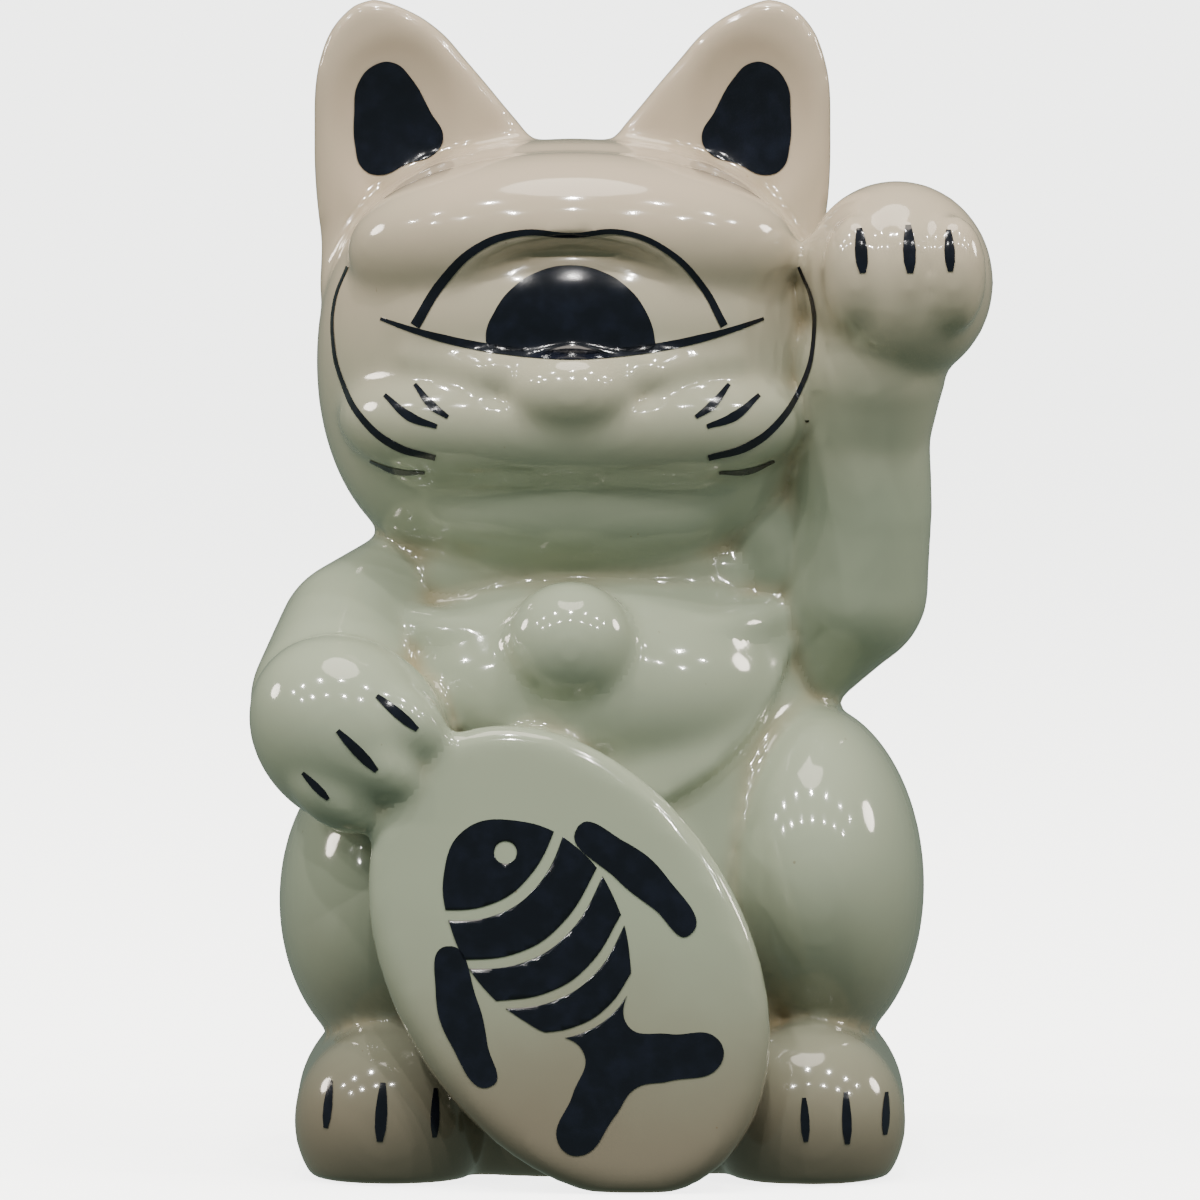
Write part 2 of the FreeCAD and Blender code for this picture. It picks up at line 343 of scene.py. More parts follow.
def raised_clay():
    """The beckoning leg, whose paw rests against the side of the head."""
    leg = limb("leg", (27.0, 1.0, 63.5, 8.5), (34.4, -2.5, 73.0, 10.8), (36.0, -5.0, 83.0, 9.6),
               (36.0, -7.0, 92.5, 9.2), (36.8, -9.0, 101.0, 10.4))
    web = ball((24.5, -3.0, 79.0), (8.0, 9.0, 11.0))
    paw = ball((40.8, -11.0, 111.8), (12.2, 13.0, 12.8))
    toes = [ball((x, -19.6, 113.0), (4.2, 4.8, 7.4)) for x in (35.4, 41.8, 47.6)]
    return join([leg, paw, web] + toes, "raised")


def lowered_clay():
    """The leg that holds the coin."""
    leg = limb("leg", (-19.5, 0.0, 70.5, 10.4), (-26.6, -7.0, 66.2, 10.8), (-30.0, -18.0, 59.5, 10.4))
    paw = ball((-27.6, -27.5, 56.2), (13.4, 12.5, 11.4), PAW_TURN)
    toes = [ball(place, (6.8, 5.0, 4.4), PAW_TURN) for place in
            ((-21.0, -33.4, 58.0), (-24.6, -34.8, 53.2), (-29.4, -33.4, 49.4))]
    return join([leg, paw] + toes, "lowered")


def tail_clay():
    """The tail, laid round the back of the base towards the right."""
    return limb("tail", (4.0, 33.0, 8.0, 5.0), (9.0, 33.7, 8.0, 5.4), (14.0, 33.5, 8.0, 5.6),
                (19.2, 31.8, 8.4, 5.8), (24.0, 29.0, 9.0, 5.8), (28.2, 25.0, 9.7, 5.6),
                (31.5, 20.0, 10.5, 5.2))


# %% [markdown]
# ## The collar and the bib
#
# The collar is a rolled coil of clay, so a torus does for it. The bib is a thin layer over the chest. It is
# made from the chest's own lumps, a little larger, and cut off outside a round outline, so that it is
# equally thick all over.

# %% The collar and the bib
COLLAR_MIDDLE = (0.8, -0.6, 70.4)
COLLAR_R, COIL_R, COLLAR_LEAN = 25.4, 3.4, 9
BIB_PROUD = 2.0
BIB_R, BIB_CUT_LENGTH = 28.0, 80
BIB_CUT_MIDDLE = (0.8, -46.0, 73.4)


def collar_clay():
    """The coil round the neck, as flat from front to back as the torso."""
    bpy.ops.object.select_all(action="DESELECT")
    bpy.ops.mesh.primitive_torus_add(major_segments=96, minor_segments=24, major_radius=COLLAR_R * MM,
                                     minor_radius=COIL_R * MM, location=at(*COLLAR_MIDDLE),
                                     rotation=(math.radians(COLLAR_LEAN), 0, 0))
    bpy.context.object.scale = (1.0, TORSO_DEPTH, 1.0)
    return named("collar")


def bib_clay():
    """The layer of clay over the chest: a slightly larger chest, cut off outside a round outline."""
    profile = [(r + BIB_PROUD if r else 0, z) for r, z in TORSO_PROFILE]
    torso_layer = thrown("torso_layer", profile, TORSO_DEPTH, TORSO_X, TORSO_Y)
    chest_layer = ball(CHEST_MIDDLE, [size + BIB_PROUD for size in CHEST_SIZE])
    layer = even(join([torso_layer, chest_layer], "bib"))
    bpy.ops.mesh.primitive_cylinder_add(vertices=96, radius=BIB_R * MM, depth=BIB_CUT_LENGTH * MM,
                                        location=at(*BIB_CUT_MIDDLE), rotation=(math.radians(90), 0, 0))
    outline = named("outline")
    modify(layer, "BOOLEAN", operation="INTERSECT", object=outline, solver="FAST")
    discard(outline)
    return layer


# %% [markdown]
# ## The coin and the bell
#
# The coin is an oval slab with a rounded rim. A flat cylinder is stretched to an oval first and bevelled
# after, because a bevel that is stretched too would be wider at the ends of the oval. Only then is the coin
# turned and leant against the belly. The bell is a ball under the chin.

# %% The coin and the bell
COIN_MIDDLE = (-0.3, -36.0, 28.4)
COIN_SIZE = (31.6, 21.9, 3.0)
COIN_ROUNDING = 2.6
COIN_TURN, COIN_LEAN = 58.5, 7.0
BELL_MIDDLE, BELL_SIZE = (-0.2, -26.0, 67.0), (8.2, 8.2, 8.0)


def coin_clay():
    """An oval slab of clay with a rounded rim, leaning back and to one side."""
    bpy.ops.object.select_all(action="DESELECT")
    bpy.ops.mesh.primitive_cylinder_add(vertices=160, radius=MM, depth=2 * MM, end_fill_type="TRIFAN")
    coin = bpy.context.object
    coin.scale = COIN_SIZE
    named("coin")
    modify(coin, "BEVEL", width=COIN_ROUNDING * MM, segments=6, limit_method="ANGLE")
    coin.rotation_euler = (math.radians(90), math.radians(COIN_TURN), 0)
    named("coin")
    coin.rotation_euler = (math.radians(-COIN_LEAN), 0, 0)
    coin.location = at(*COIN_MIDDLE)
    return named("coin")


def bell_clay():
    """The pressed ball under the chin."""
    return ball(BELL_MIDDLE, BELL_SIZE)


# %% All the lumps of clay
def cut_level(obj, height):
    """Slices off what is below a height and closes the cut."""
    edit(obj, lambda: bpy.ops.mesh.bisect(plane_co=(0, 0, height), plane_no=(0, 0, 1),
                                          use_fill=True, clear_inner=True, clear_outer=False))
    return obj


MAKERS = {"head": head_clay, "body": body_clay, "raised": raised_clay, "lowered": lowered_clay,
          "tail": tail_clay, "collar": collar_clay, "bib": bib_clay, "coin": coin_clay, "bell": bell_clay}
clay = {name: maker() for name, maker in MAKERS.items()}
for name, lump in clay.items():
    print(name, "clay:", len(lump.data.vertices), "vertices")

# %% [markdown]
# ## One skin
#
# A voxel remesh turns the lumps into one closed surface, and smoothing it rounds every joint the way that a
# thick glaze does. The remesh comes before the smoothing, because only an even mesh smooths evenly.

# %% Tools for the hollow under the base and for the coin slot
SLOT_LENGTH, SLOT_WIDTH = 30.0, 3.4
SLOT_Y, SLOT_Z = 31, 57.0
SLOT_VOXEL = 0.25
FINE_SIDES = 128
RIM_INNER_R, RECESS_DEPTH = 24.0, 2.9
plug_middle = (plug_low + plug_high) / 2
print("the plug's middle is at", [round(value, 4) for value in plug_middle])


def recess_tool():
    """A flat round that leaves a foot rim under the base."""
    bpy.ops.object.select_all(action="DESELECT")
    bpy.ops.mesh.primitive_cylinder_add(vertices=FINE_SIDES, radius=RIM_INNER_R * MM,
                                        depth=2 * RECESS_DEPTH * MM,
                                        location=(plug_middle.x, plug_middle.y, 0))
    return named("recess_tool")


def slot_tool(length, width, depth):
    """A bar with round ends that reaches in through the upper back."""
    half = (length - width) / 2
    bars = []
    for x in (0, -half, half):
        bpy.ops.object.select_all(action="DESELECT")
        place = (plug_middle.x + x * MM, plug_middle.y + SLOT_Y * MM, SLOT_Z * MM)
        if x == 0:
            bpy.ops.mesh.primitive_cube_add(size=1, location=place)
            bpy.context.object.scale = (2 * half * MM, depth * MM, width * MM)
        else:
            bpy.ops.mesh.primitive_cylinder_add(vertices=32, radius=width / 2 * MM, depth=depth * MM,
                                                location=place, rotation=(math.radians(90), 0, 0))
        bars.append(named("bar"))
    return even(join(bars, "slot_tool"), SLOT_VOXEL)


# %% Joining, remeshing and smoothing
SKIN_VOXEL = 0.76
GLAZE_PASSES = 6
GROUND = 0.12 * MM
SKIN_SLOT_DEPTH = 16


def skin_of(lumps):
    """All the lumps as one closed and softened surface, cut level and with its two hollows."""
    whole = join([copied(lump, "lump") for lump in lumps], "skin")
    even(whole, SKIN_VOXEL)
    cut_level(whole, GROUND)
    hollowed(whole, recess_tool())
    hollowed(whole, slot_tool(SLOT_LENGTH, SLOT_WIDTH, SKIN_SLOT_DEPTH))
    even(whole, SKIN_VOXEL)
    modify(whole, "SMOOTH", factor=0.5, iterations=GLAZE_PASSES)
    return whole


skin = skin_of(list(clay.values()))
print("skin:", len(skin.data.polygons), "faces")

# %% [markdown]
# ## Where the glaze gathers and shade is painted into the creases
#
# Molten glaze runs into every crease and is thicker there, and the creases lie in shade. So each point notes
# how far it lies below the surface averaged round it, which the glaze's finish reads later to paint the
# creases browner, partly as gathered glaze and partly as painted shade. The averaging takes the mean of a
# point's neighbours many times over, and numpy does that for the whole mesh at once.

# %% A note on each point of how deep in a hollow it lies
AVERAGING_PASSES = 30


def hollow_depth(obj):
    """Notes on each point how many millimetres it lies below the surface averaged round it."""
    mesh = obj.data
    count = len(mesh.vertices)
    places = numpy.empty(count * 3)
    mesh.vertices.foreach_get("co", places)
    places = places.reshape(-1, 3)
    normals = numpy.empty(count * 3)
    mesh.vertices.foreach_get("normal", normals)
    normals = normals.reshape(-1, 3)
    edges = numpy.empty(len(mesh.edges) * 2, dtype=numpy.int64)
    mesh.edges.foreach_get("vertices", edges)
    edges = edges.reshape(-1, 2)
    ends = numpy.concatenate([edges, edges[:, ::-1]])
    share = numpy.bincount(ends[:, 0], minlength=count).clip(1)
    smooth = places.copy()
    for _ in range(AVERAGING_PASSES):
        totals = [numpy.bincount(ends[:, 0], smooth[ends[:, 1], k], count) for k in range(3)]
        smooth = numpy.stack(totals, axis=1) / share[:, None]
    depth = ((smooth - places) * normals).sum(axis=1) / MM
    attribute = mesh.attributes.new("hollow", "FLOAT", "POINT")
    attribute.data.foreach_set("value", depth)
    return depth


depths = hollow_depth(skin)
print("hollows are up to", round(depths.max(), 2), "mm deep")

# %% [markdown]
# ## Parting the skin
#
# The castings of the real figure meet along luted joints that the glaze hides. Each face of the skin
# therefore goes to the lump of clay whose surface is nearest to it, which puts the seams in the creases
# between lumps.

# %% Parting the skin along the joints
def tree_of(obj):
    """A search tree of an object's faces."""
    return BVHTree.FromPolygons([v.co for v in obj.data.vertices], [p.vertices for p in obj.data.polygons])


def part_of_each_face(obj, lumps):
    """For each face, the name of the lump of clay whose surface is nearest."""
    trees = {name: tree_of(lump) for name, lump in lumps.items()}
    owners = []
    for face in obj.data.polygons:
        reach = {name: tree.find_nearest(face.center)[3] for name, tree in trees.items()}
        owners.append(min(reach, key=reach.get))
    return owners


def without(obj, drop):
    """Deletes the faces that a list of true and false picks out."""
    obj.data.polygons.foreach_set("select", drop)
    only(obj)
    bpy.ops.object.mode_set(mode="EDIT")
    bpy.ops.mesh.select_mode(type="FACE")
    bpy.ops.mesh.delete(type="FACE")
    bpy.ops.object.mode_set(mode="OBJECT")
    return obj


def parted(obj, owners, name):
    """A copy of the skin that keeps one part's faces only."""
    return without(copied(obj, name), [owner != name for owner in owners])


face_owners = part_of_each_face(skin, clay)
parts = {name: parted(skin, face_owners, name) for name in clay}
for name, part in parts.items():
    print(name, "has", len(part.data.polygons), "faces")

# %% [markdown]
# ## What the brush painted
#
# The navy marks are a thin film of colour that follows the glaze. Each mark is drawn from the front as a
# stroke or an outline, made deep, and used to cut its own shape out of a thin copy of the skin. A mask in
# the glaze's material would be blurred where the model is baked, and this stays sharp.

# %% A stroke of the brush
STROKE_DEPTH = 22.0
STROKE_ROUNDNESS, STROKE_STEPS = 6, 10
BEFORE_THE_CAT = -90
skin_tree = tree_of(skin)


def surface_y(x, z):
    """How far behind the neck the glaze first meets a line from the front, in millimetres."""
    hit = skin_tree.ray_cast(at(x, BEFORE_THE_CAT, z), Vector((0, 1, 0)))[0]
    return (hit.y - NECK_Y) / MM


def stroke(points, widths):
    """One touch of the brush through (x, z) points, as wide in millimetres as the list of widths says."""
    bpy.ops.object.select_all(action="DESELECT")
    bpy.ops.curve.primitive_bezier_curve_add(location=(0, 0, 0))
    obj = bpy.context.object
    knots = obj.data.splines[0].bezier_points
    knots.add(len(points) - len(knots))
    depth = sum(surface_y(x, z) for x, z in points) / len(points)
    for index, (knot, (x, z)) in enumerate(zip(knots, points)):
        share = index / (len(points) - 1) * (len(widths) - 1)
        low = min(int(share), len(widths) - 2)
        knot.handle_left_type = "AUTO"
        knot.handle_right_type = "AUTO"
        knot.co = at(x, 0, z)
        knot.radius = widths[low] + (widths[low + 1] - widths[low]) * (share - low)
    obj.data.bevel_depth = MM / 2
    obj.data.bevel_resolution = STROKE_ROUNDNESS
    obj.data.resolution_u = STROKE_STEPS
    obj.data.use_fill_caps = True
    bpy.ops.object.convert(target="MESH")
    named("stroke")
    obj.location = (0, -NECK_Y, 0)
    named("stroke")
    obj.scale = (1, STROKE_DEPTH / min(widths), 1)
    named("stroke")
    obj.location = (0, NECK_Y + depth * MM, 0)
    return named("stroke")


# %% The film of colour
FILM, FILM_OFFSET = 0.16, 0.3
NEARLY_EDGE_ON = -0.05
FILM_SMOOTH_ANGLE = math.radians(40)


def painted(name, marks, back):
    """Cuts the marks' shapes out of a film over the glaze in front of y = back."""
    brush = join(marks, "brush")
    corners = [v.co for v in brush.data.vertices]
    low = [min(c[k] for c in corners) - MM for k in range(3)]
    high = [max(c[k] for c in corners) + MM for k in range(3)]
    film = copied(skin, name)
    drop = []
    for face in film.data.polygons:
        place = face.center
        inside = low[0] < place.x < high[0] and low[2] < place.z < high[2]
        drop.append(not inside or place.y > at(0, back, 0).y or face.normal.y > NEARLY_EDGE_ON)
    without(film, drop)
    modify(film, "SOLIDIFY", thickness=FILM * MM, offset=FILM_OFFSET)
    modify(film, "BOOLEAN", operation="INTERSECT", object=brush, solver="EXACT")
    discard(brush)
    only(film)
    bpy.ops.object.shade_smooth_by_angle(angle=FILM_SMOOTH_ANGLE)
    print(name, "has", len(film.data.polygons), "faces")
    return film


# %% [markdown]
# ## The eye
#
# One wide eye fills the face. The pupil is a round whose foot follows the crease of the lower lid, so it is
# cut as a single outline. The two lids are strokes that swell and thin as the brush is pressed and lifted.

# %% The eye and its lids
EYE_X = -0.2
EYE_BACK = -12
UPPER_LID = [(-19.6, 106.6), (-16.2, 112.0), (-11.6, 116.4), (-6.4, 118.2), (0, 117.9), (6.2, 118.3),
             (11.8, 116.0), (16.2, 111.6), (19.0, 106.6)]
UPPER_LID_WIDTHS = [1.3, 1.2, 0.9, 0.7, 0.7, 0.8, 1.0]
LOWER_LID_Z, LOWER_LID_RISE, LOWER_LID_HALF = 103.2, 4.2, 24
LOWER_LID_WIDTHS = [0.5, 1.0, 1.1, 1.2, 1.1, 1.0, 0.5]
PUPIL_R, PUPIL_Z = 10.6, 103.6
PUPIL_FOOT = (-10.2, -6.8, -3.4, 0, 3.4, 6.8, 10.2)
PUPIL_FROM, PUPIL_TO, PUPIL_POINTS = 8, 172, 9
PUPIL_Y, PUPIL_CUT = -24, 24


def arc(centre, radii, start, end, count):
    """Points along an oval, from one angle to another, in degrees."""
    angles = [math.radians(start + (end - start) * k / (count - 1)) for k in range(count)]
    return [(centre[0] + radii[0] * math.cos(a), centre[1] + radii[1] * math.sin(a)) for a in angles]


def lower_lid(x):
    """The height of the crease under the eye."""
    return LOWER_LID_Z + LOWER_LID_RISE * (x / LOWER_LID_HALF) ** 2


upper_lid_mark = stroke(UPPER_LID, UPPER_LID_WIDTHS)
lower_lid_line = [(x, lower_lid(x)) for x in range(-LOWER_LID_HALF, LOWER_LID_HALF + 1, 4)]
lower_lid_mark = stroke(lower_lid_line, LOWER_LID_WIDTHS)
pupil_edge = [(x, lower_lid(x)) for x in PUPIL_FOOT]
pupil_edge += arc((EYE_X, PUPIL_Z), (PUPIL_R, PUPIL_R), PUPIL_FROM, PUPIL_TO, PUPIL_POINTS)
pupil_mark = slab(pupil_edge, PUPIL_Y, PUPIL_CUT)
eye_marks = [painted("upper_lid_line", [upper_lid_mark], EYE_BACK),
             painted("lower_lid_line", [lower_lid_mark], EYE_BACK),
             painted("pupil", [pupil_mark], EYE_BACK)]

# %% [markdown]
# ## The whiskers, the ears and the claws
#
# A long line rounds each cheek, with three short touches inside it, and the other side is the same drawing
# mirrored. The insides of the ears are filled with the brush. Each claw is one short touch.

# %% The whiskers
CHEEK_LINE = [(28.4, 113.8), (30.0, 109.5), (30.2, 104.5), (29.0, 99.5), (26.2, 94.9), (22.0, 91.6),
              (17.0, 90.2)]
CHEEK_WIDTHS = [0.4, 0.45, 0.5, 0.6, 0.9, 1.1, 0.8]
WHISKERS = [[(19.6, 99.4), (17.4, 96.8), (15.4, 95.4)], [(23.4, 98.0), (20.2, 95.4), (16.8, 94.2)],
            [(25.4, 89.4), (22.0, 88.2), (18.4, 88.2)]]
WHISKER_WIDTHS = (1.1, 1.2, 0.8)
TAPERED = [0.45, 0.8, 1.0, 0.95, 0.5]
CHEEK_BACK = -4


def whisker_marks(side):
    """The long line round a cheek and the three short touches inside it."""
    marks = [stroke(mirrored(CHEEK_LINE, side), CHEEK_WIDTHS)]
    for line, width in zip(WHISKERS, WHISKER_WIDTHS):
        marks.append(stroke(mirrored(line, side), [width * share for share in TAPERED]))
    return marks


whiskers = [painted(name, whisker_marks(side), CHEEK_BACK)
            for name, side in (("left_whiskers", -1), ("right_whiskers", 1))]

# %% The dark insides of the ears
EAR_INSIDE = [(25.0, 139.2), (22.6, 139.4), (20.4, 137.4), (18.0, 133.2), (16.4, 130.0), (17.4, 128.0),
              (21.0, 126.6), (24.4, 125.2), (26.6, 126.0), (27.6, 129.0), (27.7, 133.0), (27.2, 136.8)]
EAR_CUT, EAR_BACK = 30, 12
ear_insides = [painted(name, [slab(mirrored(EAR_INSIDE, side), 0, EAR_CUT)], EAR_BACK)
               for name, side in (("left_ear_inside", -1), ("right_ear_inside", 1))]

# %% The claws
CLAWS = {"raised_claws": [((35.8, 118.8), (36.2, 113.2), 1.6), ((41.9, 119.2), (42.1, 113.2), 1.6),
                          ((46.9, 118.6), (47.1, 113.4), 1.3)],
         "lowered_claws": [((-24.0, 61.4), (-19.0, 57.2), 1.2), ((-28.8, 57.2), (-24.0, 52.2), 1.3),
                           ((-33.2, 51.8), (-30.0, 48.6), 1.0)],
         "left_foot_claws": [((-30.0, 13.0), (-30.6, 7.2), 1.1), ((-23.4, 13.0), (-23.8, 5.8), 1.5),
                             ((-16.9, 12.2), (-17.0, 6.2), 1.1)],
         "right_foot_claws": [((28.8, 11.2), (29.0, 5.8), 1.1), ((34.0, 11.8), (34.2, 5.4), 1.2),
                              ((39.2, 11.4), (39.0, 6.2), 1.0)]}
CLAW_BACK = 0


def claw(start, end, width):
    """A short touch that swells in the middle."""
    (x0, z0), (x1, z1) = start, end
    points = [(x0 + (x1 - x0) * k / 4, z0 + (z1 - z0) * k / 4) for k in range(5)]
    return stroke(points, [width * share for share in TAPERED])


claws = [painted(name, [claw(*touch) for touch in touches], CLAW_BACK) for name, touches in CLAWS.items()]

# %% [markdown]
# ## The fish on the coin
#
# A fish stands upright on the coin: one filled body, four bands and an eye left bare, and a fin on each
# side. The body is painted first and the bands are then cut out of it, and the fins are painted apart and
# joined on, because a cut with a tool in several pieces can fail where a cut with one doesn't.

# %% The fish on the coin
FISH_TURN = math.radians(31.5)
FISH_MIDDLE = (-1.0, 27.6)


def on_coin(points):
    """Points across and along the coin, turned to lie on it."""
    cos, sin = math.cos(FISH_TURN), math.sin(FISH_TURN)
    return [(FISH_MIDDLE[0] + u * cos - v * sin, FISH_MIDDLE[1] + u * sin + v * cos) for u, v in points]


FISH_BODY = [(-1.5, 21.0), (4.6, 18.6), (9.2, 12.0), (9.8, 3.5), (7.0, -4.5), (3.2, -10.0), (7.0, -13.5),
             (11.8, -17.2), (10.4, -20.0), (4.0, -18.4), (0, -17.0), (-4.0, -18.6), (-10.2, -20.4),
             (-11.6, -17.6), (-7.0, -13.6), (-3.2, -10.0), (-6.8, -4.0), (-9.6, 3.5), (-9.2, 11.5),
             (-6.4, 17.8)]
FISH_FINS = [[(10.6, 14.0), (14.6, 9.5), (16.8, 3.0), (15.6, -4.5), (13.4, 0.5), (11.4, 6.0)],
             [(-10.8, 10.0), (-14.8, 6.0), (-16.6, -0.5), (-15.0, -7.5), (-12.8, -3.0), (-11.0, 2.5)]]
FISH_GAPS = [([(-12, 15.2), (-3.5, 10.8), (2.5, 11.2), (11.0, 16.6)], 1.4),
             ([(-12.0, 8.0), (-3.6, 4.0), (2.8, 4.2), (12.0, 9.0)], 1.3),
             ([(-10.5, 1.2), (-3.0, -2.0), (3.0, -1.8), (10.5, 2.0)], 1.2),
             ([(-8.0, -4.8), (-2.4, -7.2), (2.4, -7.2), (8.0, -4.6)], 1.0)]
FISH_EYE = arc((1.4, 16.0), (1.4, 1.4), 0, 315, 8)
GAP_SWELL = (0.8, 1.2, 0.8)
COIN_FRONT, COIN_BACK = -38.0, -28
FISH_CUT, EYE_CUT = 16, 20

fish = painted("coin_fish", [slab(on_coin(FISH_BODY), COIN_FRONT, FISH_CUT)], COIN_BACK)
for line, width in FISH_GAPS:
    hollowed(fish, stroke(on_coin(line), [width * share for share in GAP_SWELL]))
hollowed(fish, slab(on_coin(FISH_EYE), COIN_FRONT, EYE_CUT))
fins = [painted("fin", [slab(on_coin(outline), COIN_FRONT, FISH_CUT)], COIN_BACK) for outline in FISH_FINS]
coin_fish = join([fish] + fins, "coin_fish")
print("the fish has", len(coin_fish.data.polygons), "faces")

# %% [markdown]
# ## Hollow castings
#
# Slip-cast pieces are shells. Each parted skin gets a wall inwards, and then the hole for the plug and the
# slot for coins are cut through the body's wall.

# %% Walls, hole and slot
CAST_WALL, SMALL_WALL = 2.4, 1.2
HOLE_R, HOLE_CUT_LENGTH, HOLE_CUT_Z = 14.0, 24, 6
SLOT_SKIN, WALL_SLOT_DEPTH = 1.2, 30


def hole_tool():
    """A cylinder as wide as the plug's hole, which reaches through the base."""
    bpy.ops.object.select_all(action="DESELECT")
    bpy.ops.mesh.primitive_cylinder_add(vertices=FINE_SIDES, radius=HOLE_R * MM, depth=HOLE_CUT_LENGTH * MM,
                                        location=(plug_middle.x, plug_middle.y, HOLE_CUT_Z * MM))
    return named("hole_tool")


for name, part in parts.items():
    wall = CAST_WALL if name in ("head", "body") else SMALL_WALL
    modify(part, "SOLIDIFY", thickness=wall * MM, offset=-1)
hollowed(parts["body"], hole_tool())
hollowed(parts["body"], slot_tool(SLOT_LENGTH - SLOT_SKIN, SLOT_WIDTH - SLOT_SKIN, WALL_SLOT_DEPTH))
print("with its wall, hole and slot the body has", len(parts["body"].data.polygons), "faces")

# %% [markdown]
# ## The plug
#
# A soft plug closes the hole. It is a tapered cup with a thin flange under it and a bar across its hollow,
# which a fingernail can hook. Cup and flange are united into one solid, a cylinder cuts the hollow from
# below, and the bar goes in last, because a bar put in before would be cut away with the hollow.

# %% The plug
PLUG_TOP_R, PLUG_HEIGHT, PLUG_WALL = 13.4, 7.5, 1.8
PLUG_CLEARANCE, PLUG_OVERLAP = 0.06, 0.5
FLANGE_R, FLANGE_T = 17, 1.2
BAR_WIDTH, BAR_HEIGHT, BAR_Z, BAR_ROUNDING = 3, 2.6, 1.8, 0.5
PLUG_ROUNDING, PLUG_ROUNDING_ANGLE = 0.25, math.radians(50)
PLUG_SMOOTH_ANGLE = math.radians(40)


def above_plug_foot(height):
    """A place on the plug's axis, so many millimetres above its foot."""
    return (plug_middle.x, plug_middle.y, plug_low.z + height * MM)


def united(obj, tool):
    """Makes one solid of two."""
    modify(obj, "BOOLEAN", operation="UNION", object=tool, solver="EXACT")
    discard(tool)
    return obj


def plug_disc(name, radius, length, height):
    """A cylinder on the plug's axis."""
    bpy.ops.object.select_all(action="DESELECT")
    bpy.ops.mesh.primitive_cylinder_add(vertices=FINE_SIDES, radius=radius * MM, depth=length * MM,
                                        location=above_plug_foot(height))
    return named(name)


def plug_cup():
    """The tapered body of the plug, which starts a little inside the flange so that the two unite."""
    bpy.ops.object.select_all(action="DESELECT")
    height = FLANGE_T + PLUG_HEIGHT / 2 - PLUG_OVERLAP / 2
    bpy.ops.mesh.primitive_cone_add(vertices=FINE_SIDES, radius1=(HOLE_R - PLUG_CLEARANCE) * MM,
                                    radius2=PLUG_TOP_R * MM, depth=(PLUG_HEIGHT + PLUG_OVERLAP) * MM,
                                    location=above_plug_foot(height))
    return named("cup")


def plug_bar():
    """The bar across the hollow that a fingernail hooks."""
    bpy.ops.object.select_all(action="DESELECT")
    bpy.ops.mesh.primitive_cube_add(size=1, location=above_plug_foot(BAR_Z))
    length = 2 * (PLUG_TOP_R - PLUG_WALL / 2)
    bpy.context.object.scale = (length * MM, BAR_WIDTH * MM, BAR_HEIGHT * MM)
    return modify(named("bar"), "BEVEL", width=BAR_ROUNDING * MM, segments=3)


def soft_plug():
    """Flange and cup as one solid, hollowed from below, with the bar across."""
    solid = united(plug_disc("flange", FLANGE_R, FLANGE_T, FLANGE_T / 2), plug_cup())
    well = plug_disc("well", PLUG_TOP_R - PLUG_WALL, 2 * PLUG_HEIGHT, FLANGE_T - PLUG_WALL)
    united(hollowed(solid, well), plug_bar())
    modify(solid, "BEVEL", width=PLUG_ROUNDING * MM, segments=2, limit_method="ANGLE",
           angle_limit=PLUG_ROUNDING_ANGLE)
    only(solid)
    bpy.ops.object.shade_smooth_by_angle(angle=PLUG_SMOOTH_ANGLE)
    return solid


plug = soft_plug()
print("the plug has", len(plug.data.polygons), "faces")

# %% [markdown]
# ## Finishes
#
# A finish is worked out as a small sum of masks. One class wraps a socket, so that the sum can be written
# with plus, minus and times, and adds the Math nodes itself.

# %% Writing shader maths as Python
# A Mix node has sockets of the same name for numbers, vectors and colours, so the colour ones go by number.
COLOUR_A, COLOUR_B, COLOUR_OUT = 6, 7, 2


class Value:
    """A socket that carries a number, and can be added to, taken from and multiplied."""

    def __init__(self, finish, socket):
        self.finish = finish
        self.socket = socket

    def sum(self, operation, first, second):
        """The result of one Math node."""
        return self.finish.node("ShaderNodeMath", {"operation": operation}, [first, second]).out(0)

    def __add__(self, other):
        return self.sum("ADD", self, other)

    def __radd__(self, other):
        return self.sum("ADD", self, other)

    def __sub__(self, other):
        return self.sum("SUBTRACT", self, other)

    def __rsub__(self, other):
        return self.sum("SUBTRACT", other, self)

    def __mul__(self, other):
        return self.sum("MULTIPLY", self, other)

    def __rmul__(self, other):
        return self.sum("MULTIPLY", self, other)

    def between(self, low, high):
        """0 up to low, 1 from high on, and smooth in between."""
        values = {"Value": self, "From Min": low, "From Max": high}
        return self.finish.node("ShaderNodeMapRange", {"interpolation_type": "SMOOTHSTEP"}, values).out(0)


class Added:
    """A node that was just added."""

    def __init__(self, finish, node):
        self.finish = finish
        self.node = node

    def out(self, key):
        """One of its outputs, by name or number."""
        return Value(self.finish, self.node.outputs[key])


